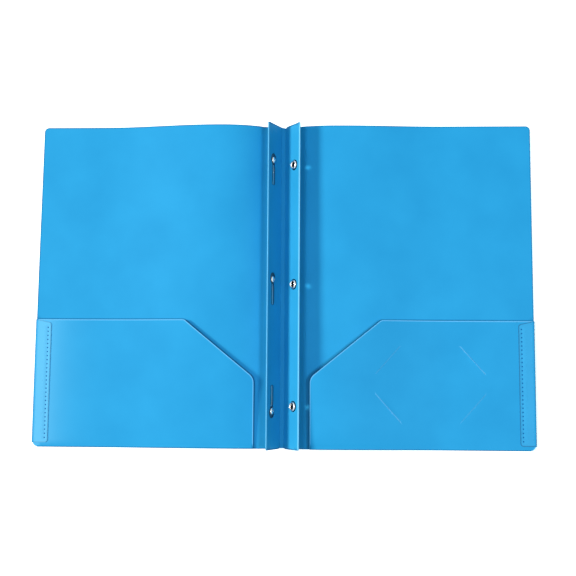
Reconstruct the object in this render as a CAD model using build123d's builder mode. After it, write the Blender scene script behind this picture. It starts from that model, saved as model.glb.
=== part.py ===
"""Two pocket folder of polypropylene sheet, lying open, with a three prong binding gusset.

Millimetres. The origin lies on the table under the middle of the spine. +X runs towards the right
cover, +Y towards the top edge of the folder and +Z up. One die cut sheet makes cover, flap, spine,
flap and cover. It is split here at its creases, which act as hinges.
"""

import os
from math import ceil, cos, hypot, radians, sin, sqrt, tan

from build123d import *

os.makedirs("parts", exist_ok=True)

# Sheet
sheet = 0.5  # thickness of the polypropylene
ply_gap = 0.2  # air between two plies folded onto each other
crease_gap = 0.05  # each panel stops this far short of its crease line

# Covers and spine
folder_height = 292.0
cover_width = 221.3  # from the crease beside the flap to the outer edge
cover_corner = 4.0  # radius of the outer corners
spine_width = 3.4

# Arch of each cover, which lies flat along its bottom fold and springs up towards its top edge
arch_height = {"left": 9.7, "right": 5.5}  # at the top edge
arch_start = 9.0  # from the crease to the foot of the arch
arch_crest = {"left": 57.5, "right": 44.5}  # from the crease to its highest line
arch_end = {"left": 166.5, "right": 127.5}
curve_step = 6.0  # spacing of the points that a curved panel is drawn through
curve_spare = 2.0  # how far a curved panel is drawn past its outline before it is cut
curve_accuracy = 0.02  # how near a curved panel passes those points

# Binding flaps, each one doubled sheet with a ridge fold on top
flap_length = 22.8  # from the spine crease to the ridge
flap_corner = 1.5  # radius of the ridge's two ends
flap_lean = {"left": 61.9, "right": 54.2}  # degrees above the table

# Pockets, measured from the outer edge and from the bottom fold
pocket_height = 114.5
pocket_margin = 22.8  # bare cover between the crease and the pocket's inner edge
chamfer_run = 63.0
chamfer_drop = 51.5
chamfer_outer_round = 5.0
chamfer_inner_round = 10.0
mouth_bend = 320.0  # radius of the bend that lifts the mouth off the cover

# Side tabs, folded over the pocket's outer edge and spot welded to it
tab_width = 13.8
tab_foot = 4.0  # from the bottom fold to the tab's lower end
tab_slope = 3.0  # fall of the tab's upper end towards its inner edge
tab_corner = 2.8
tab_fold_proud = 0.5  # how far the side fold stands out past the free edge
tab_fold_room = 0.05  # air between the pocket's edge and the inside of the side fold
tab_room = 0.02  # air between a tab and the pocket under it
weld_size = 1.3  # side of a square spot
weld_depth = 0.25
weld_pitch = 3.66
weld_inset = 2.7  # from the tab's inner edge to the row of welds
weld_end = 4.3  # from the row's first and last weld to the ends of the tab

# Card slits in the right pocket, four corners of one card
card_from_edge = 92.3
card_from_fold = 58.2
slit_near = (27.1, 33.2)  # end nearer the card's middle, across and up
slit_far = (48.7, 9.1)
slit_width = 0.5

# Eyelets in the right flap, at the standard spacing of punched paper
hole_pitch = 107.95
hole_rise = 14.5  # from the spine crease up the flap
hole_room = 0.1  # radial air round an eyelet or a rivet in its hole
eyelet_bore = 2.5
eyelet_wall = 0.4
eyelet_flange = 4.25
eyelet_crown = 0.5  # height of the rolled flange and run of its slopes
eyelet_clinch = 3.9
eyelet_clinch_height = 0.4

# Prongs on the left flap, each a flat strip with a riveted head
prong_thickness = 0.4
prong_width = 3.0
prong_length = 18.5  # from the bending line to the tip
prong_tip = 1.4  # radius of the tip's two corners
prong_head = 4.0  # radius of the head
prong_neck = 0.6  # straight stretch of the head beside the bending line
rivet_offset = 5.0  # from the bending line to the rivet
rivet_shank = 1.6
rivet_head = 3.0
rivet_dome = 1.0
rivet_tail = 2.6
rivet_tail_height = 0.5

# Worked out from the sizes above
doubled = 2 * sheet + ply_gap  # two plies and the air between them
fold_radius = doubled / 2
pocket_width = cover_width - pocket_margin
pocket_under = sheet + ply_gap  # underside of a pocket's flat part
tab_under = pocket_under + sheet + tab_room
tab_fold_middle = (sheet + tab_under) / 2
tab_fold_inner = (tab_under - sheet) / 2
tab_fold_outer = tab_fold_inner + sheet
tab_fold_line = tab_fold_outer - tab_fold_proud  # centre of the side fold, in from the free edge
tab_height = pocket_height - tab_slope - tab_foot
bottom = -folder_height / 2
side_sign = {"left": -1, "right": 1}

# Each row of the binding: its place along the spine, and the way its prong points
rows = {"upper": (hole_pitch, -1), "middle": (0.0, -1), "lower": (-hole_pitch, 1)}


def wall_plane(side):
    """Inner face of a flap: X climbs from the spine crease to the ridge, Z points into the gusset."""
    sign = side_sign[side]
    lean = radians(flap_lean[side])
    return Plane(
        origin=(sign * spine_width / 2, 0, sheet),
        x_dir=(sign * cos(lean), 0, sin(lean)),
        z_dir=(-sign * sin(lean), 0, cos(lean)),
    )


def cover_crease_rise(side):
    """How far up the flap its outer ply turns off into the cover, with the cover flat on the table."""
    return doubled / tan(radians(flap_lean[side]))


def outer_edge(side):
    """Distance of the cover's free outer edge from the middle of the spine."""
    lean = radians(flap_lean[side])
    crease = spine_width / 2 + cover_crease_rise(side) * cos(lean) + doubled * sin(lean)
    return crease + cover_width


def on_cover(side, inward, up):
    """A point given as distances inward from the cover's outer edge and up from its bottom edge."""
    return (side_sign[side] * (outer_edge(side) - inward), bottom + up)


def arch_rise(side, inward, up):
    """Height of the cover's arch: none along the bottom fold, most along the top edge."""
    out = cover_width - inward
    crest = arch_crest[side]
    if out < crest:
        share = (out - arch_start) / (crest - arch_start)
    else:
        share = (arch_end[side] - out) / (arch_end[side] - crest)
    share = min(max(share, 0), 1)
    return arch_height[side] * up / folder_height * share**2 * (3 - 2 * share)


def mouth_rise(inward, up):
    """Lift of a pocket past a slanting bend, from the tab's upper end to the inner end of the bottom fold."""
    reach = pocket_width - tab_width
    past = (inward - tab_width) * pocket_height + (up - pocket_height) * reach
    bent = max(past / hypot(reach, pocket_height), 0)
    return mouth_bend - sqrt(mouth_bend**2 - bent**2)


def curved_face(side, width, height, rise):
    """Face over a stretch of the cover, whose height above the table is a function of inward and up."""
    columns = ceil(width / curve_step)
    lines = ceil(height / curve_step)
    grid = []
    for column in range(columns + 1):
        inward = (width + 2 * curve_spare) * column / columns - curve_spare
        ups = [(height + 2 * curve_spare) * line / lines - curve_spare for line in range(lines + 1)]
        grid.append([(*on_cover(side, inward, up), rise(inward, up)) for up in ups])
    return Face.make_surface_from_array_of_points(grid, tol=curve_accuracy)


def row_on_wall(side, along):
    """A point in the wall plane's own X and Y, on the line of holes."""
    return (hole_rise, along * side_sign[side])


def radial_plane(side, along):
    """Upright plane through a hole's axis: X is radial and Y runs along the axis into the gusset."""
    wall = wall_plane(side)
    centre = wall.from_local_coords((*row_on_wall(side, along), 0))
    return Plane(origin=centre, x_dir=wall.x_dir, z_dir=-wall.y_dir)


def prong_plane(row):
    """Inner face of the left flap at a prong's bending line, with X along the prong's leg."""
    along, way = rows[row]
    wall = wall_plane("left")
    neck = wall.from_local_coords((*row_on_wall("left", along), 0))
    return Plane(origin=neck, x_dir=(0, way, 0), z_dir=wall.z_dir)


def rivet_along(row):
    """Place of a prong's rivet along the spine, behind its bending line."""
    along, way = rows[row]
    return along - way * rivet_offset


def save(part, name):
    """Label a finished piece and write it."""
    part.label = name
    export_step(part, f"parts/{name}.step")


# Spine
with BuildPart() as spine:
    with BuildSketch(Plane.XY):
        Rectangle(spine_width - 2 * crease_gap, folder_height)
    extrude(amount=sheet)
save(spine.part, "spine")


def make_flap(side):
    """Hairpin of sheet that stands on the spine crease, with the holes of its fasteners."""
    wall = wall_plane(side)
    profile_plane = Plane(origin=wall.origin, x_dir=wall.x_dir, z_dir=-wall.y_dir)
    ridge_centre = flap_length - fold_radius
    foot = cover_crease_rise(side) + crease_gap
    with BuildPart() as flap:
        with BuildSketch(profile_plane):
            with BuildLine():
                Line((crease_gap, 0), (ridge_centre, 0))
                CenterArc((ridge_centre, -fold_radius), fold_radius, 90, -180)
                Line((ridge_centre, -doubled), (foot, -doubled))
                Line((foot, -doubled), (foot, sheet - doubled))
                Line((foot, sheet - doubled), (ridge_centre, sheet - doubled))
                CenterArc((ridge_centre, -fold_radius), ply_gap / 2, -90, 180)
                Line((ridge_centre, -sheet), (crease_gap, -sheet))
                Line((crease_gap, -sheet), (crease_gap, 0))
            make_face()
        extrude(amount=folder_height / 2, both=True)
        with BuildSketch(wall):
            with BuildLine():
                FilletPolyline(
                    (0, bottom),
                    (flap_length, bottom),
                    (flap_length, -bottom),
                    (0, -bottom),
                    radius=[0, flap_corner, flap_corner, 0],
                    close=True,
                )
            make_face()
        extrude(amount=doubled, both=True, mode=Mode.INTERSECT)
        if side == "right":
            centres = [row_on_wall(side, along) for along, way in rows.values()]
            hole = eyelet_bore + eyelet_wall + hole_room
        else:
            centres = [row_on_wall(side, rivet_along(row)) for row in rows]
            hole = rivet_shank + hole_room
        with BuildSketch(wall):
            with Locations(*centres):
                Circle(hole)
        extrude(amount=doubled, both=True, mode=Mode.SUBTRACT)
    save(flap.part, f"{side}_flap")


def make_cover(side):
    """Arched panel, cut back where the bottom fold and the side fold grow out of it."""
    stations = [cover_width - out for out in (arch_end[side], arch_crest[side], arch_start)]
    stations = [-curve_spare, *stations, cover_width + curve_spare]

    def section(up):
        """Cross section at a height: flat, up to the crest, down again and flat."""
        plane = Plane.XZ.offset(-bottom - up)
        with BuildSketch(plane) as strip:
            with BuildLine():
                for height in (0, sheet):
                    outer, foot, crest, inner_foot, inner = [
                        (on_cover(side, inward, up)[0], arch_rise(side, inward, up) + height)
                        for inward in stations
                    ]
                    level = (-side_sign[side], 0)
                    Line(outer, foot)
                    Spline(foot, crest, tangents=[level, level])
                    Spline(crest, inner_foot, tangents=[level, level])
                    Line(inner_foot, inner)
                for inward in (stations[0], stations[-1]):
                    end = on_cover(side, inward, up)[0]
                    Line((end, 0), (end, sheet))
            make_face()
        return strip.sketch.faces()[0]

    with BuildPart() as cover:
        loft([section(-curve_spare), section(folder_height + curve_spare)], ruled=True)
        with BuildSketch(Plane.XY):
            with BuildLine():
                FilletPolyline(
                    on_cover(side, cover_width - crease_gap, 0),
                    on_cover(side, pocket_width, 0),
                    on_cover(side, pocket_width, fold_radius),
                    on_cover(side, tab_fold_line, fold_radius),
                    on_cover(side, tab_fold_line, pocket_height),
                    on_cover(side, 0, pocket_height),
                    on_cover(side, 0, folder_height),
                    on_cover(side, cover_width - crease_gap, folder_height),
                    radius=[0, 0, 0, cover_corner, 0, 0, cover_corner, 0],
                    close=True,
                )
            make_face()
        extrude(amount=folder_height, both=True, mode=Mode.INTERSECT)
    save(cover.part, f"{side}_cover")


def make_pocket(side):
    """Panel folded up over the cover's foot, whose upper inner corner lifts off it along a slanting bend."""
    pocket_edge = tab_fold_line + tab_fold_room
    fold_start = tab_fold_line + cover_corner

    def underside(inward, up):
        return pocket_under + arch_rise(side, inward, up) + mouth_rise(inward, up)

    fold_ends = [on_cover(side, inward, 0)[0] for inward in (fold_start, pocket_width)]
    fold_centre = (bottom + fold_radius, fold_radius)
    with BuildPart() as pocket:
        extrude(curved_face(side, pocket_width, pocket_height, underside), amount=sheet, dir=(0, 0, 1))
        with BuildSketch(Plane.XY):
            with BuildLine():
                FilletPolyline(
                    on_cover(side, pocket_edge, fold_radius),
                    on_cover(side, pocket_edge, pocket_height),
                    on_cover(side, pocket_width - chamfer_run, pocket_height),
                    on_cover(side, pocket_width, pocket_height - chamfer_drop),
                    on_cover(side, pocket_width, fold_radius),
                    radius=[cover_corner, 0, chamfer_outer_round, chamfer_inner_round, 0],
                    close=True,
                )
            make_face()
        extrude(amount=pocket_height, both=True, mode=Mode.INTERSECT)
        with BuildSketch(Plane.YZ.offset(min(fold_ends))):
            with BuildLine():
                outside = CenterArc(fold_centre, fold_radius, 90, 180)
                inside = CenterArc(fold_centre, ply_gap / 2, 90, 180)
                Line(outside @ 0, inside @ 0)
                Line(outside @ 1, inside @ 1)
            make_face()
        extrude(amount=max(fold_ends) - min(fold_ends))
        if side == "right":
            slit_run = slit_far[0] - slit_near[0]
            slit_fall = slit_near[1] - slit_far[1]
            slit_length = hypot(slit_run, slit_fall)
            middle_across = (slit_near[0] + slit_far[0]) / 2
            middle_up = (slit_near[1] + slit_far[1]) / 2
            slope = Vector(slit_run, slit_fall).get_angle(Vector(1, 0))
            with BuildSketch(Plane.XY):
                for across, up in ((1, 1), (1, -1), (-1, 1), (-1, -1)):
                    place = on_cover(
                        side,
                        card_from_edge - across * middle_across,
                        card_from_fold + up * middle_up,
                    )
                    with Locations(place):
                        Rectangle(slit_length, slit_width, rotation=-across * up * slope)
            extrude(amount=pocket_height, mode=Mode.SUBTRACT)
    save(pocket.part, f"{side}_pocket")


def make_tab(side):
    """Strip of the cover's edge folded over the pocket, with its row of spot welds as dimples."""
    fold_centre = (on_cover(side, tab_fold_line, 0)[0], tab_fold_middle)
    outward = 90 * side_sign[side]
    fold_foot = bottom + tab_foot
    fold_plane = Plane(origin=(0, fold_foot, 0), x_dir=(1, 0, 0), z_dir=(0, -1, 0))
    weld_count = int((tab_height - 2 * weld_end) / weld_pitch) + 1
    weld_middle = on_cover(side, tab_width - weld_inset, tab_foot + tab_height / 2)
    with BuildPart() as tab:
        with BuildSketch(Plane.XY.offset(tab_under)):
            with BuildLine():
                FilletPolyline(
                    on_cover(side, tab_fold_line, tab_foot),
                    on_cover(side, tab_width, tab_foot),
                    on_cover(side, tab_width, pocket_height - tab_slope),
                    on_cover(side, tab_fold_line, pocket_height),
                    radius=[0, tab_corner, tab_corner, 0],
                    close=True,
                )
            make_face()
        extrude(amount=sheet)
        with BuildSketch(fold_plane):
            with BuildLine():
                outside = CenterArc(fold_centre, tab_fold_outer, -90, 2 * outward)
                inside = CenterArc(fold_centre, tab_fold_inner, -90, 2 * outward)
                Line(outside @ 0, inside @ 0)
                Line(outside @ 1, inside @ 1)
            make_face()
        extrude(amount=tab_foot - pocket_height)
        with BuildSketch(Plane.XY.offset(tab_under + sheet)):
            with Locations(weld_middle):
                with GridLocations(weld_pitch, weld_pitch, 1, weld_count):
                    Rectangle(weld_size, weld_size)
        extrude(amount=-weld_depth, mode=Mode.SUBTRACT)
    save(tab.part, f"{side}_side_tab")


for cover_side in side_sign:
    make_flap(cover_side)
    make_cover(cover_side)
    make_pocket(cover_side)
    make_tab(cover_side)


def make_eyelet(row):
    """Tube through both plies of the right flap, rolled over into a flange at each end."""
    plane = radial_plane("right", rows[row][0])
    tube = eyelet_bore + eyelet_wall
    with BuildPart() as eyelet:
        with BuildSketch(plane):
            with BuildLine():
                Polyline(
                    (eyelet_bore, 0),
                    (eyelet_bore + eyelet_crown, eyelet_crown),
                    (eyelet_flange - eyelet_crown, eyelet_crown),
                    (eyelet_flange, 0),
                    (tube, 0),
                    (tube, -doubled),
                    (eyelet_clinch, -doubled),
                    (tube, -doubled - eyelet_clinch_height),
                    (eyelet_bore, -doubled),
                    close=True,
                )
            make_face()
        revolve(axis=Axis(plane.origin, plane.y_dir))
    save(eyelet.part, f"{row}_eyelet")


def make_prong_head(row):
    """Drop shaped plate that the rivet holds down, narrowing to the prong's bending line."""
    plane = prong_plane(row)
    with BuildPart() as head:
        with BuildSketch(plane):
            with Locations((-rivet_offset, 0)):
                Circle(prong_head)
            with Locations((-crease_gap - prong_neck / 2, 0)):
                Rectangle(prong_neck, prong_width)
            make_hull()
        extrude(amount=prong_thickness)
        with BuildSketch(plane):
            with Locations((-rivet_offset, 0)):
                Circle(rivet_shank + hole_room)
        extrude(amount=prong_thickness, mode=Mode.SUBTRACT)
    save(head.part, f"{row}_prong_head")


def make_prong_leg(row):
    """Strip with a rounded tip that lies on the flap and bends up to pass through the paper."""
    with BuildPart() as leg:
        with BuildSketch(prong_plane(row)) as outline:
            with Locations(((crease_gap + prong_length) / 2, 0)):
                Rectangle(prong_length - crease_gap, prong_width)
            fillet(outline.vertices().group_by(Axis.X)[-1], radius=prong_tip)
        extrude(amount=prong_thickness)
    save(leg.part, f"{row}_prong_leg")


def make_rivet(row):
    """Domed rivet through the prong's head and both plies of the left flap."""
    plane = radial_plane("left", rivet_along(row))
    crown = prong_thickness + rivet_dome
    tail_end = -doubled - rivet_tail_height
    with BuildPart() as rivet:
        with BuildSketch(plane):
            with BuildLine():
                TangentArc((0, crown), (rivet_head, prong_thickness), tangent=(1, 0))
                Polyline(
                    (rivet_head, prong_thickness),
                    (rivet_shank, prong_thickness),
                    (rivet_shank, -doubled),
                    (rivet_tail, -doubled),
                    (rivet_tail - rivet_tail_height, tail_end),
                    (0, tail_end),
                    (0, crown),
                )
            make_face()
        revolve(axis=Axis(plane.origin, plane.y_dir))
    save(rivet.part, f"{row}_rivet")


for binding_row in rows:
    make_eyelet(binding_row)
    make_prong_head(binding_row)
    make_prong_leg(binding_row)
    make_rivet(binding_row)
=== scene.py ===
"""Looks of the open two pocket folder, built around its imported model.

Metres, in the frame of the model: +X towards the right cover, +Y towards the top edge, +Z up.
Every panel is a thin sheet that is cut out flat and then folded into place by a function.
"""

import math

import bmesh
import bpy
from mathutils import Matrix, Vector
from mathutils.geometry import delaunay_2d_cdt, intersect_point_line


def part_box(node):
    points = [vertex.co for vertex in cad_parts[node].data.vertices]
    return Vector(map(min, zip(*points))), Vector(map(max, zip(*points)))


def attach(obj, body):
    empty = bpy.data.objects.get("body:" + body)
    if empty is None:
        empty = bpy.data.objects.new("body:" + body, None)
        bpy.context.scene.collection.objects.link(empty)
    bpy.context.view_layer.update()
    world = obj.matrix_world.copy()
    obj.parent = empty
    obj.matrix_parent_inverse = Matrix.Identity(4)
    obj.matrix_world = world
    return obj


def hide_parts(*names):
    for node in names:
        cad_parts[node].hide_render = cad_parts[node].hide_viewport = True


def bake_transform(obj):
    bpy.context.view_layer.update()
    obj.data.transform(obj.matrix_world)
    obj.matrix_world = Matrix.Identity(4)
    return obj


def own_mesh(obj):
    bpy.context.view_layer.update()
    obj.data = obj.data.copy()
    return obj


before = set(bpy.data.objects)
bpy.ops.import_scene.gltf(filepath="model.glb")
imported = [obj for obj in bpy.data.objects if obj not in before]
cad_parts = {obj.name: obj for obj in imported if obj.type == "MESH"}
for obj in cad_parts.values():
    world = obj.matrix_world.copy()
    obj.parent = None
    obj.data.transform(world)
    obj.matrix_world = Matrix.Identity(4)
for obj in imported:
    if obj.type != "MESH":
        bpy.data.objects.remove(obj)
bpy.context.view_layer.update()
MM = 0.001

# Sheet and folds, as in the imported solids
sheet = 0.5 * MM
ply_gap = 0.2 * MM
crease_gap = 0.05 * MM
doubled = 2 * sheet + ply_gap
fold_radius = doubled / 2
spine_half = 1.7 * MM
flap_length = 22.8 * MM
flap_corner = 1.5 * MM
flap_lean = {"left": 61.9, "right": 54.2}
cover_corner = 4 * MM

# Ends of the gusset, drawn in at the top (1) and at the bottom (-1); whitening with a painted highlight
# along its ridges, and painted shade on its floor
gusset_notch = {"left": {1: 0.5 * MM, -1: 0.7 * MM}, "right": {1: 1.4 * MM, -1: 0.7 * MM}}
ridge_whitening_and_highlight = {"left": 0.55, "right": 1.0}
ridge_fade = 0.5 * MM
valley_shade = 0.4

# Thin webs that join the panels at their creases
web_reach = 0.6 * MM
web_depth = sheet / 2
web_thickness = 0.2 * MM
web_end = 0.1 * MM
web_corner = 0.1 * MM

# Pockets, measured inward from the outer edge and up from the bottom fold
pocket_height = 114.5 * MM
pocket_margin = {"left": 22.4 * MM, "right": 21.9 * MM}
chamfer_run = {"left": 63.0 * MM, "right": 63.5 * MM}
chamfer_drop = 51.5 * MM
chamfer_outer_round = 5 * MM
chamfer_inner_round = 10 * MM
mouth_bend = {"left": 750 * MM, "right": 1000 * MM}
fold_swell = {"left": 0.45 * MM, "right": 2.6 * MM}
flare = {"left": 0.6 * MM, "right": 2.0 * MM}
flare_run = 7 * MM
swell_start = 70 * MM

# Side tabs
tab_width = 13.8 * MM
tab_foot = 4 * MM
tab_slope = 3 * MM
tab_corner = 2.8 * MM
tab_fold_proud = 0.5 * MM
tab_room = 0.02 * MM
tab_under = 2 * sheet + ply_gap + tab_room
tab_fold_middle = (sheet + tab_under) / 2
tab_fold_inner = (tab_under - sheet) / 2
tab_fold_outer = tab_fold_inner + sheet
tab_fold_line = tab_fold_outer - tab_fold_proud
weld_pitch = 3.66 * MM
weld_inset = 2.7 * MM
weld_count = 28
weld_radius = 0.85 * MM
weld_depth = 0.3 * MM
weld_core = weld_radius * 0.5
weld_core_tone = 0.9

# Tones of pockets and tabs: whitened, with a painted sheen, beside the folded edge; painted shade along cut
# edges and folds, and a painted contact shadow on the cover where sheets touch
tab_whitening_and_sheen = {"left": 0.5, "right": 0.1}
tab_fade = 2 * MM
pocket_whitening_and_sheen = {"left": 0.3, "right": 0.0}
whitening_and_sheen_reach = 14 * MM
contact_shade = 0.75
contact_start = 0.05 * MM
contact_core = 0.5 * MM
contact_reach = 1.6 * MM
edge_shade = 0.75
fold_shade_reach = 0.4 * MM
tab_fold_shade_share = 0.15
tab_edge_shade = 0.9

# Card slits in the right pocket, from the card's middle
card_middle = (92.3 * MM, 58.2 * MM)
slit_near = (27.1 * MM, 33.2 * MM)
slit_far = (48.7 * MM, 9.1 * MM)
slit_width = 0.12 * MM
slit_parts = 14
slit_rows = (-3 * MM, -1.4 * MM, -0.6 * MM, 0.6 * MM, 1.4 * MM, 3 * MM)
# Paler slit edges with a painted highlight, stronger on the slits that run down to the right
lit_slit_rim = 1.0
plain_slit_rim = 0.4
lip_lift = 0.5 * MM
lip_reach = 5 * MM

# Binding
hole_rise = 14.5 * MM
hole_pitch = 107.95 * MM
eyelet_hole = 3.0 * MM
rivet_hole = 1.7 * MM
rivet_offset = 5 * MM
rivet_shift = 0.8 * MM
prong_thickness = 0.4 * MM
prong_width = 3.6 * MM
prong_length = 18.5 * MM
prong_tip = 1.4 * MM
prong_head = 4 * MM
head_stretch = 5.4 * MM
head_steps = 26
head_bevel = 0.3 * MM
neck_end = -0.05 * MM
neck_start = -0.65 * MM
edge_start = 0.3
edge_stop = 0.6
leg_bevel = 0.4 * MM
prong_arch = 0.35 * MM
arch_rise = 4 * MM
arch_fall = 5 * MM
arch_at_tip = 0.3
rows = {"upper": (hole_pitch, -1), "middle": (0, -1), "lower": (-hole_pitch, 1)}

# The covers' bow: height at the top and bottom edges, place of its start, crest and end from the crease
bow_high = {"left": 11.0 * MM, "right": 5.5 * MM}
bow_low = {"left": 2.5 * MM, "right": 3.0 * MM}
bow_crest = {"left": 57.5 * MM, "right": 44.5 * MM}
bow_end = {"left": 166.5 * MM, "right": 145.0 * MM}
bow_start = {"left": 12.0 * MM, "right": 9.0 * MM}
bow_rise_power = 2.2
bow_growth_power = 1.1
bow_soft_start = 0.12

# Camera, found from the folder's corners in the photograph
image_size = 576
focal_pixels = 906.5
camera_place = (35.5 * MM, -77.2 * MM, 815.1 * MM)
camera_turn = (5.263, 2.127, 0.363)
sensor = 36.0

# Mesh steps, and the room that grid points keep from other points
panel_step = 5 * MM
tab_step = 2.5 * MM
spine_step = 1.7 * MM
leg_step = 0.7 * MM
rim_line = 0.45 * MM
rim_width = 1.0 * MM
ridge_rows = (0.4 * MM, 1.0 * MM)
spot_room = 1.2 * MM
edge_room = 0.3
row_room = 1 / 3
least_lean = 0.4
crease_band = 0.5 * MM
same_point = 1e-7
arc_steps = 8
lathe_steps = 48
hole_steps = 28
weld_core_steps = 8
weld_rim_steps = 12
bow_samples = 240
sheet_sharp = 38
metal_sharp = 50

# Colours
cloud_low = (0.017, 0.262, 0.53, 1)
cloud_high = (0.021, 0.290, 0.57, 1)
# shaded_blue is painted shade; rim_blue is a paler cut edge with a painted highlight; pale_blue is
# whitening with a painted highlight and sheen
shaded_blue = (0.004, 0.10, 0.24, 1)
rim_blue = (0.12, 0.42, 0.72, 1)
pale_blue = (0.18, 0.54, 0.80, 1)
weld_blue = (0.0, 0.07, 0.25, 1)
# Painted shade on the metal pieces
painted_shade_metal = (0.01, 0.025, 0.045, 1)
cool = (0.65, 1.0, 1.15)
warm = (1.2, 1.0, 0.85)

# Light on the table, and what the floor adds where it is seen directly
light_level = 1.41
ambient = 0.1 * light_level
key_rise = math.radians(36)
floor_half = 3.0
floor_drop = 0.0002
floor_glow = 0.4

sides = {"left": -1, "right": 1}


# Shapes in the flat

def signed_area(loop):
    """Area of a closed loop of points, positive where it runs anticlockwise."""
    total = 0.0
    for (x0, y0), (x1, y1) in zip(loop, loop[1:] + loop[:1]):
        total += x0 * y1 - x1 * y0
    return total / 2


def rounded(corners, radii):
    """Closed loop through the corners, each one rounded to its own radius."""
    loop = []
    count = len(corners)
    for index, radius in enumerate(radii):
        corner = Vector(corners[index])
        back = (Vector(corners[index - 1]) - corner).normalized()
        ahead = (Vector(corners[(index + 1) % count]) - corner).normalized()
        if radius == 0:
            loop.append(tuple(corner))
            continue
        half = back.angle(ahead) / 2
        centre = corner + (back + ahead).normalized() * radius / math.sin(half)
        first = corner + back * radius / math.tan(half) - centre
        last = corner + ahead * radius / math.tan(half) - centre
        turn = first.angle_signed(last)
        for step in range(arc_steps + 1):
            angle = -turn * step / arc_steps
            spun = Vector((
                first.x * math.cos(angle) - first.y * math.sin(angle),
                first.x * math.sin(angle) + first.y * math.cos(angle),
            ))
            loop.append(tuple(centre + spun))
    return loop


def divided(loop, step):
    """The same loop with points added along its long stretches."""
    points = []
    for start, end in zip(loop, loop[1:] + loop[:1]):
        parts = max(1, round(math.dist(start, end) / step))
        for part in range(parts):
            share = part / parts
            points.append((
                start[0] + (end[0] - start[0]) * share,
                start[1] + (end[1] - start[1]) * share,
            ))
    return points


def circle(centre, radius, count):
    """Closed loop of points round a centre."""
    return [
        (
            centre[0] + radius * math.cos(math.tau * k / count),
            centre[1] + radius * math.sin(math.tau * k / count),
        )
        for k in range(count)
    ]


def shrunk(loop, distance):
    """A loop moved inward by a distance."""
    way = 1 if signed_area(loop) > 0 else -1
    moved = []
    for index, point in enumerate(loop):
        here = Vector(point)
        back = (here - Vector(loop[index - 1])).normalized()
        ahead = (Vector(loop[(index + 1) % len(loop)]) - here).normalized()
        along = (back + ahead).normalized()
        inward = Vector((-along.y, along.x)) * way
        lean = max(least_lean, inward.dot(Vector((-back.y, back.x)) * way))
        moved.append(tuple(here + inward * distance / lean))
    return moved


def smooth(share):
    """Eases from nought to one."""
    share = min(1.0, max(0.0, share))
    return share * share * (3 - 2 * share)


def inside(point, loop):
    """Whether a point lies within a closed loop."""
    x, y = point
    found = False
    for (x0, y0), (x1, y1) in zip(loop, loop[1:] + loop[:1]):
        if (y0 > y) != (y1 > y) and x < (x1 - x0) * (y - y0) / (y1 - y0) + x0:
            found = not found
    return found


# Sheets

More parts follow.
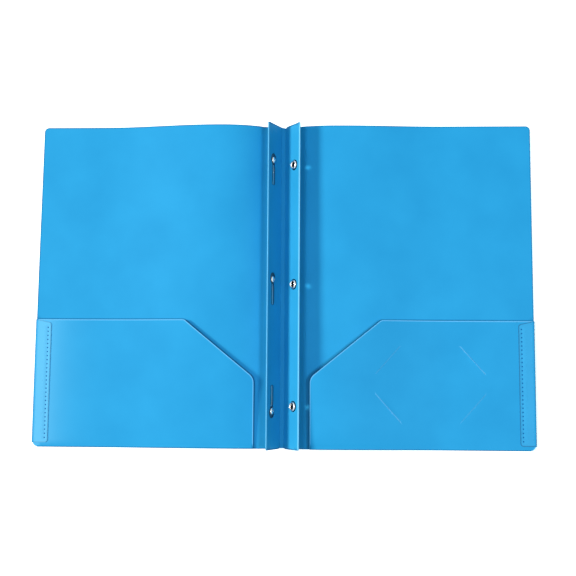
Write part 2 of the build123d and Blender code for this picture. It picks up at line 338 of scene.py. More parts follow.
def sheet_mesh(
    name, outline, place, holes=(), hole_rims=None, rows_across=(), extra=(), lines=(), spots=(),
    step=panel_step, edge=1.0, cut=None, pale=None, pale_below=True
):
    """A closed thin sheet: the outline is filled in the flat and place folds each point of both faces.

    rows_across are lines of constant second coordinate that get their own points, extra and lines are
    more points and drawn lines, and spots are points with a weight that the material reads as a weld.
    edge is how pale a cut edge is, with a painted highlight, and below nought how dark, with painted shade;
    hole_rims the same for the holes. cut tells a cut edge from a crease, and pale gives the tone of the
    sheet at a point: whitened, with painted highlight and sheen, above nought, and painted shade below
    nought, on both faces or, without pale_below, on the second one alone.
    """
    outline = divided(outline, step)
    points = []
    rims = []
    edges = []

    def add(new, rim=0.0, joined=False, closed=False, kept=None):
        """Take in points, joined to their neighbours where that is asked for."""
        numbers = []
        for point in new:
            if kept and not kept(point):
                numbers.append(None)
                continue
            numbers.append(len(points))
            points.append(point)
            rims.append(rim)
        ahead = numbers[1:] + (numbers[:1] if closed else [])
        if joined:
            edges.extend(pair for pair in zip(numbers, ahead) if None not in pair)

    far_off = 1.0
    first_row = min(rows_across, default=far_off)
    last_row = max(rows_across, default=far_off)

    def clear_of_fold(point):
        in_fold = first_row - rim_width < point[1] < last_row + rim_width / 2
        return inside(point, outline) and not in_fold

    add(outline, rim=edge, joined=True, closed=True)
    for hole, hole_rim in zip(holes, hole_rims or [0.0] * len(holes)):
        add(hole, rim=hole_rim, joined=True, closed=True)
    add(shrunk(outline, rim_line), rim=edge, joined=True, closed=True, kept=clear_of_fold)
    add(shrunk(outline, rim_width), joined=True, closed=True, kept=clear_of_fold)
    for line in lines:
        add(line, joined=True, kept=clear_of_fold)
    low_x, high_x = min(p[0] for p in outline), max(p[0] for p in outline)
    low_y, high_y = min(p[1] for p in outline), max(p[1] for p in outline)
    columns = max(2, round((high_x - low_x) / step))
    steps_up = max(2, round((high_y - low_y) / step))
    across = [low_x + (high_x - low_x) * (k + 0.5) / columns for k in range(columns)]
    up = [low_y + (high_y - low_y) * (k + 0.5) / steps_up for k in range(steps_up)]
    up = [y for y in up if not first_row - step * row_room < y < last_row + step * row_room]
    well_inside = shrunk(outline, step * edge_room)
    spot_centres = [Vector(point) for point, weight in spots]

    def in_grid(point):
        near_spot = any((Vector(point) - centre).length < spot_room for centre in spot_centres)
        return inside(point, well_inside) and not near_spot

    for y in up:
        add([(x, y) for x in across], kept=in_grid)
    for y in rows_across:
        add([(x, y) for x in across], joined=True, kept=lambda point: inside(point, outline))
    add(extra, kept=lambda point: inside(point, outline))
    spot_base = len(points)
    add([point for point, weight in spots])
    flat = [Vector(point) for point in points]
    found, _, faces, sources, _, _ = delaunay_2d_cdt(flat, edges, [], 0, same_point)
    kept = []
    for face in faces:
        middle = sum((found[k] for k in face), Vector((0, 0))) / len(face)
        if inside(middle, outline) and not any(inside(middle, hole) for hole in holes):
            kept.append(face)
    used = sorted({k for face in kept for k in face})
    number = {k: index for index, k in enumerate(used)}
    built = bmesh.new()
    rim_layer = built.verts.layers.float.new("rim")
    weld_layer = built.verts.layers.float.new("weld")
    pale_layer = built.verts.layers.float.new("pale")
    layers = []
    for height in (0.0, sheet):
        layer = []
        for k in used:
            vertex = built.verts.new(place(found[k].x, found[k].y, height))
            spot = tuple(found[k])
            if cut is None or cut(*spot):
                vertex[rim_layer] = max((rims[s] for s in sources[k]), key=abs, default=0.0)
            vertex[pale_layer] = pale(*spot) if pale and (pale_below or height > 0) else 0.0
            weights = [spots[s - spot_base][1] for s in sources[k] if s >= spot_base]
            vertex[weld_layer] = max(weights) if weights else 0.0
            layer.append(vertex)
        layers.append(layer)
    sides_of = {}
    for face in kept:
        corners = [number[k] for k in face]
        built.faces.new([layers[0][k] for k in corners])
        built.faces.new([layers[1][k] for k in reversed(corners)])
        for start, end in zip(corners, corners[1:] + corners[:1]):
            key = (min(start, end), max(start, end))
            sides_of.setdefault(key, []).append((start, end))
    for pairs in sides_of.values():
        if len(pairs) == 1:
            start, end = pairs[0]
            built.faces.new([layers[0][end], layers[0][start], layers[1][start], layers[1][end]])
    bmesh.ops.recalc_face_normals(built, faces=built.faces)
    return finished(name, built)


def finished(name, built, sharp=sheet_sharp):
    """Object from a built mesh, smooth except where faces meet at a sharp angle."""
    mesh = bpy.data.meshes.new(name)
    built.to_mesh(mesh)
    built.free()
    mesh.shade_smooth()
    mesh.set_sharp_from_angle(angle=math.radians(sharp))
    piece = bpy.data.objects.new(name, mesh)
    bpy.context.scene.collection.objects.link(piece)
    return piece


class Cover:
    """Where one cover's panels lie, with its bow."""

    def __init__(self, side):
        low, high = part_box(f"{side}_cover")
        self.side = side
        self.sign = sides[side]
        self.outer = max(abs(low.x), abs(high.x))
        self.crease = min(abs(low.x), abs(high.x)) - crease_gap
        self.bottom = low.y
        self.height = high.y - low.y
        self.width = self.outer - self.crease
        self.pocket_width = self.width - pocket_margin[side]
        self.shifts = [0.0]
        run = self.width / bow_samples
        for k in range(bow_samples):
            slope = (self.profile((k + 1) * run) - self.profile(k * run)) / run
            self.shifts.append(self.shifts[-1] + slope * slope * run / 2)

    def profile(self, distance):
        """Height of the bow at a distance from the crease, for a crest of one."""
        start, crest, end = bow_start[self.side], bow_crest[self.side], bow_end[self.side]
        if distance <= start or distance >= end:
            return 0.0
        if distance < crest:
            share = (distance - start) / (crest - start)
            return (1 - (1 - share) ** bow_rise_power) * smooth(share / bow_soft_start)
        return (1 + math.cos(math.pi * (distance - crest) / (end - crest))) / 2

    def crest_height(self, up):
        """Height of the bow's crest at a height up the cover."""
        share = min(1.0, max(0.0, up / self.height))
        growth = 1 - (1 - share) ** bow_growth_power
        return bow_low[self.side] + (bow_high[self.side] - bow_low[self.side]) * growth

    def point(self, inward, up, height):
        """A point above the cover, given inward from its outer edge and up from its bottom edge."""
        distance = self.width - inward
        crest = self.crest_height(up)
        place = min(max(distance / self.width, 0.0), 1.0) * (len(self.shifts) - 1)
        index = min(int(place), len(self.shifts) - 2)
        part = place - index
        drawn = self.shifts[index] * (1 - part) + self.shifts[index + 1] * part
        x = self.crease + distance - drawn * crest * crest
        z = height + self.profile(distance) * crest
        return Vector((self.sign * x, self.bottom + up, z))


covers = {side: Cover(side) for side in sides}


def pocket_edge(cover):
    """The pocket's cut edge from its bottom fold round to its outer end, inward and up."""
    return rounded(
        [
            (cover.pocket_width, fold_radius),
            (cover.pocket_width, pocket_height - chamfer_drop),
            (cover.pocket_width - chamfer_run[cover.side], pocket_height),
            (tab_fold_line + crease_gap, pocket_height),
        ],
        [0, chamfer_inner_round, chamfer_outer_round, 0],
    )


def cover_sheet(cover):
    """The cover's panel, cut back where the bottom fold and the side fold grow out of it."""
    outline = rounded(
        [
            (cover.width - crease_gap, 0),
            (cover.pocket_width, 0),
            (cover.pocket_width, fold_radius),
            (tab_fold_line, fold_radius),
            (tab_fold_line, pocket_height),
            (0, pocket_height),
            (0, cover.height),
            (cover.width - crease_gap, cover.height),
        ],
        [0, 0, 0, cover_corner, 0, 0, cover_corner, 0],
    )

    def cut(inward, up):
        at_crease = inward > cover.width - crease_band
        at_fold = up < pocket_height - crease_band and inward < cover.pocket_width + crease_band
        return not at_crease and not at_fold

    pocket = pocket_edge(cover)

    # Painted contact shadow on the cover's top face along the pocket's edge.
    def shade(inward, up):
        spot = Vector((inward, up))
        nearest = contact_reach
        for start, end in zip(pocket, pocket[1:]):
            _, share = intersect_point_line(spot, Vector(start), Vector(end))
            closest = Vector(start).lerp(Vector(end), min(1.0, max(0.0, share)))
            nearest = min(nearest, (spot - closest).length)
        return -contact_shade * smooth((contact_reach - nearest) / (contact_reach - contact_core))

    along = divided(pocket, panel_step)
    lines = [shrunk(along, -offset) for offset in (contact_start, contact_core, contact_reach)]
    piece = sheet_mesh(
        f"{cover.side}_cover_sheet",
        outline,
        cover.point,
        lines=lines,
        edge=-edge_shade,
        cut=cut,
        pale=shade,
        pale_below=False,
    )
    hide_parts(f"{cover.side}_cover")
    return piece


def slit_ends():
    """The four slits of the card holder, each as its two ends, inward and up."""
    ends = []
    for across, up in ((1, 1), (1, -1), (-1, 1), (-1, -1)):
        near = (card_middle[0] - across * slit_near[0], card_middle[1] + up * slit_near[1])
        far = (card_middle[0] - across * slit_far[0], card_middle[1] + up * slit_far[1])
        ends.append((across * up, Vector(near), Vector(far)))
    return ends


def pocket_sheet(cover):
    """The pocket's panel with its bottom fold, lifted along a slanting bend at its mouth."""
    side = cover.side
    arc = math.pi * (fold_radius - sheet / 2)
    outer_edge = tab_fold_line + crease_gap
    fold_start = tab_fold_line + cover_corner
    slant = math.hypot(cover.pocket_width - tab_width, pocket_height)
    lift_inward = pocket_height / slant
    lift_up = (cover.pocket_width - tab_width) / slant
    slits = slit_ends() if side == "right" else []

    def lip(inward, up):
        """Lift of the sheet along the lit side of a slit that runs down to the right."""
        lifted = 0.0
        for way, near, far in slits:
            if way < 0:
                continue
            along = (far - near).normalized()
            offset = Vector((inward, up)) - near
            reach = offset.dot(along) / (far - near).length
            away = offset.x * along.y - offset.y * along.x
            if 0 < reach < 1 and -lip_reach < away < 0:
                lifted += lip_lift * math.sin(math.pi * reach) * (1 + away / lip_reach) ** 2
        return lifted

    def place(inward, path, height):
        spring = smooth((inward - swell_start) / (cover.pocket_width - swell_start))
        half_height = fold_radius + fold_swell[side] * spring
        if path < arc:
            angle = math.pi * path / arc
            up = fold_radius - (fold_radius - height) * math.sin(angle)
            return cover.point(inward, up, half_height - (half_height - height) * math.cos(angle))
        up = fold_radius + path - arc
        bend = (inward - tab_width) * lift_inward + (up - pocket_height) * lift_up
        lift = mouth_bend[side] - math.sqrt(mouth_bend[side] ** 2 - bend**2) if bend > 0 else 0.0
        lift += flare[side] * spring * (1 - math.exp(-(path - arc) / flare_run))
        return cover.point(inward, up, 2 * half_height - height + lift + lip(inward, up))

    def on_path(up):
        return up - fold_radius + arc

    fold_rows = [arc * k / arc_steps for k in range(arc_steps + 1)]
    inner = [(cover.pocket_width, row) for row in fold_rows]
    outer = [(fold_start, row) for row in reversed(fold_rows)]
    upper = rounded(
        [
            (cover.pocket_width, arc),
            (cover.pocket_width, on_path(pocket_height - chamfer_drop)),
            (cover.pocket_width - chamfer_run[side], on_path(pocket_height)),
            (outer_edge, on_path(pocket_height)),
            (outer_edge, arc),
            (fold_start + cover_corner, arc),
        ],
        [0, chamfer_inner_round, chamfer_outer_round, 0, cover_corner, 0],
    )
    outline = inner[:-1] + upper[:-2] + outer
    holes = []
    hole_rims = []
    extra = []
    for way, near, far in slits:
        near = Vector((near.x, on_path(near.y)))
        far = Vector((far.x, on_path(far.y)))
        along = (far - near).normalized()
        beside = Vector((-along.y, along.x))
        half = beside * slit_width / 2
        edge = [near + (far - near) * k / slit_parts for k in range(slit_parts + 1)]
        holes.append([tuple(p + half) for p in edge] + [tuple(p - half) for p in reversed(edge)])
        hole_rims.append(lit_slit_rim if way > 0 else plain_slit_rim)
        for offset in slit_rows:
            extra += [tuple(p + beside * offset) for p in edge]

    # Painted shade on the bottom fold, then whitening with a painted sheen that fades inward from the side
    # fold.
    def painted_light_and_whitening(inward, path):
        if path < arc + fold_shade_reach:
            return -edge_shade * smooth((arc + fold_shade_reach - path) / fold_shade_reach)
        return pocket_whitening_and_sheen[side] * math.exp(-max(0.0, inward - tab_width) / whitening_and_sheen_reach)

    # Its cut edges keep the default pale rim: a paler edge with a painted highlight.
    piece = sheet_mesh(
        f"{side}_pocket_sheet",
        outline,
        place,
        holes=holes,
        hole_rims=hole_rims,
        rows_across=fold_rows[1:] + [arc + fold_shade_reach],
        extra=extra,
        cut=lambda inward, path: path > arc,
        pale=painted_light_and_whitening,
    )
    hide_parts(f"{side}_pocket")
    return piece


def tab_sheet(cover):
    """The strip folded over the pocket's outer edge, with its row of spot welds."""
    arc = math.pi * (tab_fold_outer - sheet / 2)
    tab_height = pocket_height - tab_slope - tab_foot
    weld_line = arc + tab_width - tab_fold_line - weld_inset
    weld_middle = tab_foot + tab_height / 2
    centres = [
        (weld_middle + (k - (weld_count - 1) / 2) * weld_pitch, weld_line) for k in range(weld_count)
    ]

    def place(up, path, height):
        dip = 0.0
        if height == 0.0 and abs(path - weld_line) < weld_radius:
            nearest = min(math.hypot(up - y, path - weld_line) for y, _ in centres)
            if nearest < weld_radius:
                dip = weld_depth * (1 - (nearest / weld_radius) ** 2)
        if path < arc:
            angle = math.pi * path / arc
            radius = tab_fold_outer - height
            inward = tab_fold_line - radius * math.sin(angle)
            return cover.point(inward, up, tab_fold_middle - radius * math.cos(angle))
        inward = tab_fold_line + path - arc
        return cover.point(inward, up, tab_under + sheet - height - dip)

    fold_rows = [arc * k / arc_steps for k in range(arc_steps + 1)]
    edge = arc + tab_width - tab_fold_line
    foot = [(tab_foot, row) for row in fold_rows]
    head = [(pocket_height, row) for row in reversed(fold_rows)]
    upper = rounded(
        [
            (tab_foot, arc),
            (tab_foot, edge),
            (pocket_height - tab_slope, edge),
            (pocket_height, arc),
        ],
        [0, tab_corner, tab_corner, 0],
    )
    outline = foot[:-1] + upper[:-1] + head
    spots = []
    for centre in centres:
        spots.append((centre, 1.0))
        spots += [(point, weld_core_tone) for point in circle(centre, weld_core, weld_core_steps)]
        spots += [(point, 0.0) for point in circle(centre, weld_radius, weld_rim_steps)]

    # Painted shade on the fold, then whitening with a painted sheen that grows across the tab.
    def painted_light_and_whitening(up, path):
        if path < arc:
            return -edge_shade * smooth((arc - path) / (tab_fold_shade_share * arc))
        return tab_whitening_and_sheen[cover.side] * smooth((path - arc) / tab_fade)

    piece = sheet_mesh(
        f"{cover.side}_side_tab_sheet",
        outline,
        place,
        rows_across=fold_rows[1:],
        spots=spots,
        step=tab_step,
        edge=-tab_edge_shade,
        cut=lambda up, path: path > arc,
        pale=painted_light_and_whitening,
    )
    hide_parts(f"{cover.side}_side_tab")
    return piece


class Wall:
    """Inner face of a flap: climb runs from the spine crease to the ridge, depth into the gusset."""

    def __init__(self, side):
        self.side = side
        lean = math.radians(flap_lean[side])
        sign = sides[side]
        self.foot = Vector((sign * spine_half, 0, sheet))
        self.climb = Vector((sign * math.cos(lean), 0, math.sin(lean)))
        self.depth = Vector((-sign * math.sin(lean), 0, math.cos(lean)))
        self.cover_crease = doubled / math.tan(lean)

    def point(self, climb, along, depth):
        return self.foot + self.climb * climb + self.depth * depth + Vector((0, along, 0))


walls = {side: Wall(side) for side in sides}


def flap_sheet(wall):
    """One hairpin of sheet from the spine crease over the ridge and down to the cover's crease."""
    half = covers[wall.side].height / 2
    ridge = flap_length - fold_radius
    rise = ridge - crease_gap
    arc = math.pi * (fold_radius - sheet / 2)
    fall = ridge - wall.cover_crease - crease_gap

    def place(along, path, height):
        if path <= rise:
            climb, depth = crease_gap + path, -height
        elif path < rise + arc:
            angle = math.pi * (path - rise) / arc
            radius = fold_radius - height
            climb = ridge + radius * math.sin(angle)
            depth = -fold_radius + radius * math.cos(angle)
        else:
            climb, depth = ridge - (path - rise - arc), height - doubled
        short = max(0.0, climb - (flap_length - flap_corner))
        reach = half - flap_corner + math.sqrt(max(0.0, flap_corner**2 - short**2))
        if path <= rise:
            reach -= gusset_notch[wall.side][1 if along > 0 else -1] * (1 - climb / flap_length)
        return wall.point(climb, along * reach / half, depth)

    fold_rows = [rise + arc * k / arc_steps for k in range(arc_steps + 1)]
    corner_rows = [rise - away for away in ridge_rows] + [rise + arc + away for away in ridge_rows]
    total = rise + arc + fall
    stations = sorted(fold_rows + corner_rows)
    right_end = [(half, row) for row in stations]
    left_end = [(-half, row) for row in reversed(stations)]
    outline = [(-half, 0), (half, 0)] + right_end + [(half, total), (-half, total)] + left_end
    if wall.side == "right":
        centres = [along for along, way in rows.values()]
        hole = eyelet_hole
    else:
        centres = [along - way * (rivet_offset - rivet_shift) for along, way in rows.values()]
        hole = rivet_hole
    front = hole_rise - crease_gap
    back = rise + arc + ridge - hole_rise
    holes = [circle((along, row), hole, hole_steps) for along in centres for row in (front, back)]

    # Whitened fold with a painted highlight along the ridge.
    def painted_light_and_whitening(along, path):
        away = abs(path - rise - arc / 2) / (arc / 2 + ridge_fade)
        return ridge_whitening_and_highlight[wall.side] * max(0.0, 1 - away) ** 0.5

    piece = sheet_mesh(
        f"{wall.side}_flap_sheet",
        outline,
        place,
        holes=holes,
        rows_across=stations,
        edge=-edge_shade,
        cut=lambda along, path: abs(along) > half - crease_band,
        pale=painted_light_and_whitening,
    )
    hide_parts(f"{wall.side}_flap")
    return piece


def spine_sheet():
    """The floor of the gusset between its two creases, darkened all over with painted shade."""
    half = covers["left"].height / 2
    reach = spine_half - crease_gap
    low = {side: gusset_notch[side][-1] - half for side in sides}
    high = {side: half - gusset_notch[side][1] for side in sides}
    outline = [(-reach, low["left"]), (reach, low["right"]), (reach, high["right"]), (-reach, high["left"])]
    piece = sheet_mesh(
        "spine_sheet",
        outline,
        lambda x, y, z: Vector((x, y, z)),
        step=spine_step,
        edge=0.0,
        pale=lambda x, y: -valley_shade,
    )
    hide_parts("spine")
    return piece


def crease_web(name, side, first, corner, second):
    """Thin living hinge that joins two panels inside their thickness, along one crease."""
    half = covers[side].height / 2 - web_end
    built = bmesh.new()
    rails = []
    for along in (gusset_notch[side][-1] - half, half - gusset_notch[side][1]):
        rail = []
        for here, ahead in ((first, corner), (corner, second), (second, second * 2 - corner)):
            way = (ahead - here).normalized()
            across = Vector((-way.z, 0, way.x)) * web_thickness / 2
            rail.append(built.verts.new(here + across + Vector((0, along, 0))))
            rail.append(built.verts.new(here - across + Vector((0, along, 0))))
        rails.append(rail)
    low, high = rails
    for k in (0, 2):
        built.faces.new([low[k], low[k + 2], high[k + 2], high[k]])
        built.faces.new([low[k + 1], low[k + 3], high[k + 3], high[k + 1]])
        built.faces.new([low[k], low[k + 1], low[k + 3], low[k + 2]])
        built.faces.new([high[k], high[k + 1], high[k + 3], high[k + 2]])
    built.faces.new([low[0], low[1], high[1], high[0]])
    built.faces.new([low[4], low[5], high[5], high[4]])
    bmesh.ops.recalc_face_normals(built, faces=built.faces)
    return finished(name, built)


# Metal pieces

def lathe(name, origin, axis, profile, shades):
    """Closed ring or knob: the profile of radius and height is turned about an axis.

    shades says how much painted shade darkens the metal at each point of the profile.
    """
    across = axis.orthogonal().normalized()
    beside = axis.cross(across)
    built = bmesh.new()
    shade_layer = built.verts.layers.float.new("shade")
    rings = []
    for (radius, height), shade in zip(profile, shades):
        ring = []
        for k in range(lathe_steps if radius > 0 else 1):
            angle = math.tau * k / lathe_steps
            way = across * math.cos(angle) + beside * math.sin(angle)
            vertex = built.verts.new(origin + axis * height + way * radius)
            vertex[shade_layer] = shade
            ring.append(vertex)
        rings.append(ring)
    pairs = list(zip(rings, rings[1:]))
    if profile[0][0] > 0:
        pairs.append((rings[-1], rings[0]))
    for first, second in pairs:
        for k in range(lathe_steps):
            n = (k + 1) % lathe_steps
            if len(first) == 1:
                built.faces.new([first[0], second[k], second[n]])
            elif len(second) == 1:
                built.faces.new([first[k], first[n], second[0]])
            else:
                built.faces.new([first[k], first[n], second[n], second[k]])
    bmesh.ops.recalc_face_normals(built, faces=built.faces)
    return finished(name, built, sharp=metal_sharp)


def half_round(centre_radius, centre_height, radius, height, start, end, steps=10):
    """Points of an elliptical bead from one angle to another, in degrees."""
    points = []
    for k in range(steps + 1):
        angle = math.radians(start + (end - start) * k / steps)
        points.append((
            centre_radius + radius * math.cos(angle),
            centre_height + height * math.sin(angle),
        ))
    return points


def eyelet_ring(row):
    """Tube through the right flap, rolled over at the front and clinched at the back."""
    wall = walls["right"]
    bore = 2.5 * MM
    wall_thickness = 0.4 * MM
    back_bore = 1.8 * MM
    bead = 4.1 * MM
    flange = 4.8 * MM
    flange_height = 0.15 * MM
    crown = 1.6 * MM
    clinch = 3.9 * MM
    centre = (bore + bead) / 2
    profile = half_round(centre, flange_height, (bead - bore) / 2, crown, 180, 0)
    # Painted shade at both edges of the bead, on the flange round it, down the bore and on the clinched
    # back.
    shades = [1.0, 0.6] + [0.0] * 7 + [0.5, 1.0]
    profile += [(flange, flange_height), (flange, 0)]
    profile += [(bore + wall_thickness, 0), (bore + wall_thickness, -doubled)]
    back = (back_bore + clinch) / 2
    profile += half_round(back, -doubled, (clinch - back_bore) / 2, 0.5 * MM, 0, -180)
    shades += [1.0] * (len(profile) - len(shades))
    origin = wall.point(hole_rise, rows[row][0], 0)
    piece = lathe(f"{row}_eyelet_ring", origin, wall.depth, profile, shades)
    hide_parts(f"{row}_eyelet")
    return piece


def rivet_knob(row):
    """Domed rivet with a small dimple, through the prong's head and the left flap."""
    wall = walls["left"]
    along, way = rows[row]
    head = 3 * MM
    dome = 1.2 * MM
    shank = 1.6 * MM
    tail = 2.6 * MM
    tail_height = 0.5 * MM
    dimple = 0.55 * MM
    dimple_depth = 0.3 * MM
    seat = prong_thickness
    profile = [(0, seat + dome - dimple_depth), (dimple * 0.6, seat + dome - dimple_depth * 0.8)]
    start = math.degrees(math.acos(dimple / head))
    profile += half_round(0, seat, head, dome, start, 0, steps=12)
    profile += [(shank, seat), (shank, -doubled), (tail, -doubled)]
    profile += half_round(tail - tail_height, -doubled, tail_height, tail_height, -15, -90, steps=5)
    profile.append((0, -doubled - tail_height))
    origin = wall.point(hole_rise, along - way * (rivet_offset - rivet_shift), 0)
    # Painted shade in the dimple, towards the dome's foot, and on the shank and tail.
    shades = [0.9, 0.6] + [0.0] * 9 + [0.3, 0.8] + [1.0] * 20
    piece = lathe(f"{row}_rivet_knob", origin, wall.depth, profile, shades[: len(profile)])
    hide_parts(f"{row}_rivet")
    return piece


def strip_mesh(name, outline, place, thickness, bevel, shades):
    """Flat metal piece cut to an outline, with broken edges.

    shades says how much painted shade darkens its edge, and its face up and down the wall.
    """
    built = bmesh.new()
    shade_layer = built.verts.layers.float.new("shade")
    small = shrunk(outline, bevel)
    layers = []
    edge, upper, lower = shades
    for loop, height, above, below in (
        (small, 0.0, edge, edge),
        (outline, min(bevel, thickness) * edge_start, edge, edge),
        (outline, thickness * edge_stop, edge, edge),
        (small, thickness, upper, lower),
    ):
        layer = []
        for x, y in loop:
            vertex = built.verts.new(place(x, y, height))
            vertex[shade_layer] = above if y > 0 else below
            layer.append(vertex)
        layers.append(layer)
    count = len(outline)
    for low, high in zip(layers, layers[1:]):
        for k in range(count):
            n = (k + 1) % count
            built.faces.new([low[k], low[n], high[n], high[k]])
    for layer in (layers[0], layers[-1]):
        face = built.faces.new(layer)
        bmesh.ops.triangulate(built, faces=[face])
    bmesh.ops.recalc_face_normals(built, faces=built.faces)
    return finished(name, built, sharp=metal_sharp)


def prong_point(row):
    """Places points of a prong: forward along the leg, aside up the wall, and off the wall."""
    along, way = rows[row]
    wall = walls["left"]

    def place(forward, aside, height):
        return wall.point(hole_rise + aside, along + way * forward, height)

    return place


def prong_head_plate(row):
    """Drop shaped plate under the rivet, narrowing to the bending line."""
    half = prong_width / 2
    reach = rivet_offset + neck_start
    distance = math.hypot(reach, half)
    turn = math.acos(prong_head / distance) + math.atan2(half, reach)
    stretch = head_stretch / prong_head
    loop = [(neck_end, -half), (neck_end, half), (neck_start, half)]
    for k in range(head_steps + 1):
        angle = turn + (math.tau - 2 * turn) * k / head_steps
        forward = prong_head * math.cos(angle)
        forward *= stretch if forward < 0 else 1
        loop.append((forward - rivet_offset, prong_head * math.sin(angle)))
    loop.append((neck_start, -half))
    # Painted shade over the whole plate, darkest at its edge, for the dark ring round the rivet.
    shades = (1.0, 0.8, 0.8)
    piece = strip_mesh(
        f"{row}_prong_head_plate", loop, prong_point(row), prong_thickness, head_bevel, shades
    )
    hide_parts(f"{row}_prong_head")
    return piece


def prong_leg_strip(row):
    """Thin strip with a rounded tip, sprung a little off the wall between neck and tip."""
    half = prong_width / 2
    flat = prong_point(row)
    outline = divided(
        rounded(
            [(crease_gap, -half), (prong_length, -half), (prong_length, half), (crease_gap, half)],
            [0, prong_tip, prong_tip, 0],
        ),
        leg_step,
    )

    def place(forward, aside, height):
        risen = smooth(forward / arch_rise)
        falling = smooth(arch_at_tip + (prong_length - forward) / arch_fall)
        return flat(forward, aside, height + prong_arch * risen * falling)

    # Painted shade on the leg's edges and on its half down the wall; its half up the wall stays bright.
    shades = (1.0, 0.0, 0.9)
    piece = strip_mesh(f"{row}_prong_leg_strip", outline, place, prong_thickness, leg_bevel, shades)
    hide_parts(f"{row}_prong_leg")
    return piece


# Materials

def new_material(name):
    """Material with a principled shader, and a function that adds nodes to it."""
    material = bpy.data.materials.new(name)
    material.use_nodes = True
    tree = material.node_tree
    shader = tree.nodes["Principled BSDF"]

    def add(kind, inputs=None, **settings):
        node = tree.nodes.new(kind)
        for key, value in settings.items():
            setattr(node, key, value)
        for key, value in (inputs or {}).items():
            if isinstance(value, bpy.types.NodeSocket):
                tree.links.new(value, node.inputs[key])
            else:
                node.inputs[key].default_value = value
        return node

    return material, tree, shader, add


def polypropylene():
    """Blue sheet: fine matte grain, cloudy colour, and tones that the mesh carries in its points:
    whitening, painted highlights, sheen and shade, and the welds.
    """
    material, tree, shader, add = new_material("blue_polypropylene")
    place = add("ShaderNodeTexCoord").outputs["Object"]
    clouds = add("ShaderNodeTexNoise", {"Vector": place, "Scale": 22.0, "Detail": 3.0})
    ramp = add("ShaderNodeValToRGB", {"Fac": clouds.outputs["Fac"]})
    ramp.color_ramp.elements[0].position = 0.3
    ramp.color_ramp.elements[0].color = cloud_low
    ramp.color_ramp.elements[1].position = 0.7
    ramp.color_ramp.elements[1].color = cloud_high
    rim = add("ShaderNodeAttribute", attribute_name="rim").outputs["Fac"]
    weld = add("ShaderNodeAttribute", attribute_name="weld").outputs["Fac"]
    pale = add("ShaderNodeAttribute", attribute_name="pale").outputs["Fac"]
    lower = add("ShaderNodeMath", {0: rim, 1: pale}, operation="MINIMUM")
    dark = add("ShaderNodeMath", {0: lower.outputs[0], 1: -1.0}, operation="MULTIPLY")
    darker = add("ShaderNodeMix", {"Factor": dark.outputs[0], "A": ramp.outputs["Color"]}, data_type="RGBA")
    darker.inputs["B"].default_value = shaded_blue
    paler = add("ShaderNodeMix", {"Factor": rim, "A": darker.outputs["Result"]}, data_type="RGBA")
    paler.inputs["B"].default_value = rim_blue
    white = add("ShaderNodeMix", {"Factor": pale, "A": paler.outputs["Result"]}, data_type="RGBA")
    white.inputs["B"].default_value = pale_blue
    pressed = add("ShaderNodeMix", {"Factor": weld, "A": white.outputs["Result"]}, data_type="RGBA")
    pressed.inputs["B"].default_value = weld_blue
    tree.links.new(pressed.outputs["Result"], shader.inputs["Base Color"])
    grain = add("ShaderNodeTexNoise", {"Vector": place, "Scale": 1600.0, "Detail": 2.0})
    finish = add(
        "ShaderNodeMapRange",
        {"Value": grain.outputs["Fac"], "To Min": 0.40, "To Max": 0.52},
    )
    tree.links.new(finish.outputs["Result"], shader.inputs["Roughness"])
    bump = add("ShaderNodeBump", {"Height": grain.outputs["Fac"], "Strength": 0.12, "Distance": 0.00005})
    tree.links.new(bump.outputs["Normal"], shader.inputs["Normal"])
    shader.inputs["Specular IOR Level"].default_value = 0.05
    return material


def metal(name, colour, worn, roughness):
    """Plated or bare metal with fine drawn marks, a little uneven tone, and the painted shade that its mesh
    carries in its points.
    """
    material, tree, shader, add = new_material(name)
    place = add("ShaderNodeTexCoord").outputs["Object"]
    marks = add("ShaderNodeTexNoise", {"Vector": place, "Scale": 900.0, "Detail": 4.0})
    tone = add("ShaderNodeMix", {"Factor": marks.outputs["Fac"]}, data_type="RGBA")
    tone.inputs["A"].default_value = colour
    tone.inputs["B"].default_value = worn
    shade = add("ShaderNodeAttribute", attribute_name="shade").outputs["Fac"]
    darker = add("ShaderNodeMix", {"Factor": shade, "A": tone.outputs["Result"]}, data_type="RGBA")
    darker.inputs["B"].default_value = painted_shade_metal
    tree.links.new(darker.outputs["Result"], shader.inputs["Base Color"])
    finish = add(
        "ShaderNodeMapRange",
        {"Value": marks.outputs["Fac"], "To Min": roughness - 0.06, "To Max": roughness + 0.08},
    )
    tree.links.new(finish.outputs["Result"], shader.inputs["Roughness"])
    bump = add("ShaderNodeBump", {"Height": marks.outputs["Fac"], "Strength": 0.1, "Distance": 0.00002})
    tree.links.new(bump.outputs["Normal"], shader.inputs["Normal"])
    shader.inputs["Metallic"].default_value = 1.0
    return material


def seen_directly(tree):
    """One for camera, glossy and transmission rays, and zero for the light that falls on the object."""
    path = tree.nodes.new("ShaderNodeLightPath")
    total = None
    for ray in ("Is Camera Ray", "Is Glossy Ray", "Is Transmission Ray"):
        if total is None:
            total = path.outputs[ray]
            continue
        join = tree.nodes.new("ShaderNodeMath")
        join.operation = "MAXIMUM"
        tree.links.new(total, join.inputs[0])
        tree.links.new(path.outputs[ray], join.inputs[1])
        total = join.outputs[0]
    return total


# Build the folder

blue = polypropylene()
nickel = metal("nickel_plate", (0.86, 0.88, 0.88, 1), (0.74, 0.77, 0.78, 1), 0.22)
# The steel's blue tint is a painted reflection of the blue sheet round it.
steel = metal("bright_steel_painted_blue_reflection", (0.50, 0.66, 0.72, 1), (0.39, 0.54, 0.60, 1), 0.32)


def dress(piece, material, body=None):
    """Give a piece its material and the body that carries it."""
    piece.data.materials.clear()
    piece.data.materials.append(material)
    if body:
        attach(piece, body)
    return piece


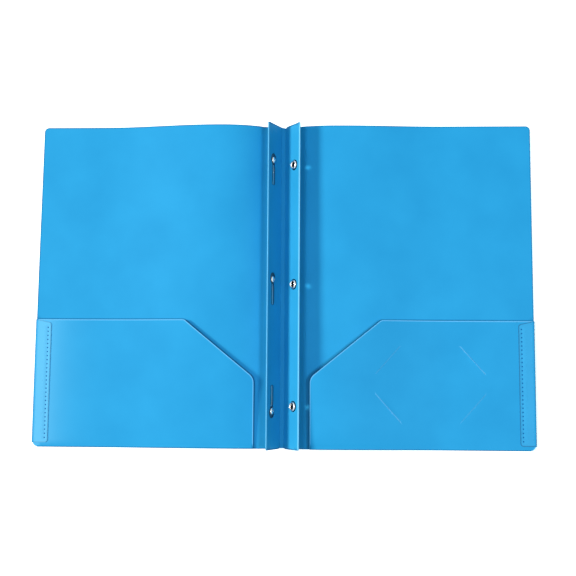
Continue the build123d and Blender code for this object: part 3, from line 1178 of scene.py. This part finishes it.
dress(spine_sheet(), blue, "spine")
for side_name, cover in covers.items():
    dress(flap_sheet(walls[side_name]), blue, f"{side_name}_flap")
    for make in (cover_sheet, pocket_sheet, tab_sheet):
        panel = dress(make(cover), blue, f"{side_name}_cover")
        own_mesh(panel)

for row_name in rows:
    dress(eyelet_ring(row_name), nickel, "right_flap")
    dress(rivet_knob(row_name), nickel, "left_flap")
    dress(prong_head_plate(row_name), steel, "left_flap")
    dress(prong_leg_strip(row_name), steel, f"{row_name}_prong")

for side_name, wall in walls.items():
    cover = covers[side_name]
    sign = sides[side_name]
    foot = wall.point(0, 0, -web_depth)
    crease_ends = {
        "spine_crease": (
            "spine",
            Vector((sign * (spine_half - web_reach), 0, web_depth)),
            foot + Vector((-sign * web_corner, 0, 0)),
            wall.point(web_reach, 0, -web_depth),
        ),
        "cover_crease": (
            f"{side_name}_cover",
            Vector((sign * (cover.crease + web_reach), 0, web_depth)),
            Vector((sign * cover.crease, 0, web_depth)),
            wall.point(wall.cover_crease + web_reach, 0, web_depth - doubled),
        ),
    }
    for crease_name, (body, first, corner, second) in crease_ends.items():
        web = crease_web(f"{side_name}_{crease_name}", side_name, first, corner, second)
        dress(web, blue)
        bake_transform(web)

# Floor, world, lamps and camera

floor_mesh = bpy.data.meshes.new("floor")
floor_mesh.from_pydata(
    [(-floor_half, -floor_half, 0), (floor_half, -floor_half, 0), (floor_half, floor_half, 0),
     (-floor_half, floor_half, 0)],
    [],
    [(0, 1, 2, 3)],
)
floor = bpy.data.objects.new("floor", floor_mesh)
floor.location.z = -floor_drop
bpy.context.scene.collection.objects.link(floor)
floor_material, floor_tree, floor_shader, floor_add = new_material("pale_floor")
floor_shader.inputs["Base Color"].default_value = (0.9, 0.9, 0.9, 1)
floor_shader.inputs["Roughness"].default_value = 0.9
floor_shader.inputs["Specular IOR Level"].default_value = 0.0
floor_shader.inputs["Emission Color"].default_value = (1, 1, 1, 1)
glow = floor_add("ShaderNodeMath", {0: seen_directly(floor_tree), 1: floor_glow}, operation="MULTIPLY")
floor_tree.links.new(glow.outputs[0], floor_shader.inputs["Emission Strength"])
floor_mesh.materials.append(floor_material)

world = bpy.data.worlds.new("studio")
bpy.context.scene.world = world
world.use_nodes = True
backdrop = world.node_tree.nodes["Background"]
tint = world.node_tree.nodes.new("ShaderNodeMix")
tint.data_type = "RGBA"
tint.inputs["A"].default_value = (*cool, 1)
tint.inputs["B"].default_value = (1, 1, 1, 1)
world.node_tree.links.new(seen_directly(world.node_tree), tint.inputs["Factor"])
world.node_tree.links.new(tint.outputs["Result"], backdrop.inputs["Color"])
level = world.node_tree.nodes.new("ShaderNodeMapRange")
level.inputs["To Min"].default_value = ambient
level.inputs["To Max"].default_value = 1.0
world.node_tree.links.new(seen_directly(world.node_tree), level.inputs["Value"])
world.node_tree.links.new(level.outputs["Result"], backdrop.inputs["Strength"])


def lamp(name, direction, distance, size, share, colour):
    """Round soft box that gives the table its share of light from a direction."""
    data = bpy.data.lights.new(name, "AREA")
    data.shape = "DISK"
    data.size = size
    data.color = colour
    way = Vector(direction).normalized()
    data.energy = share * math.pi**2 * distance**2 / way.z
    holder = bpy.data.objects.new(name, data)
    holder.location = way * distance
    holder.rotation_euler = way.to_track_quat("Z", "Y").to_euler()
    bpy.context.scene.collection.objects.link(holder)


key_way = (-math.cos(key_rise), 0.05, math.sin(key_rise))
lamp("key_softbox", key_way, distance=4.5, size=1.0, share=0.45 * light_level, colour=warm)
lamp("fill_softbox", (0.39, -0.1, 1.0), distance=2.6, size=0.5, share=0.27 * light_level, colour=cool)
lamp("overhead_softbox", (-0.3, 0.03, 1.0), distance=2.6, size=0.7, share=0.2 * light_level, colour=cool)

camera_data = bpy.data.cameras.new("photo_camera")
camera_data.sensor_width = sensor
camera_data.lens = focal_pixels * sensor / image_size
camera = bpy.data.objects.new("photo_camera", camera_data)
camera.location = camera_place
camera.rotation_euler = [math.radians(angle) for angle in camera_turn]
bpy.context.scene.collection.objects.link(camera)
bpy.context.scene.camera = camera
bpy.context.scene.view_settings.view_transform = "Standard"
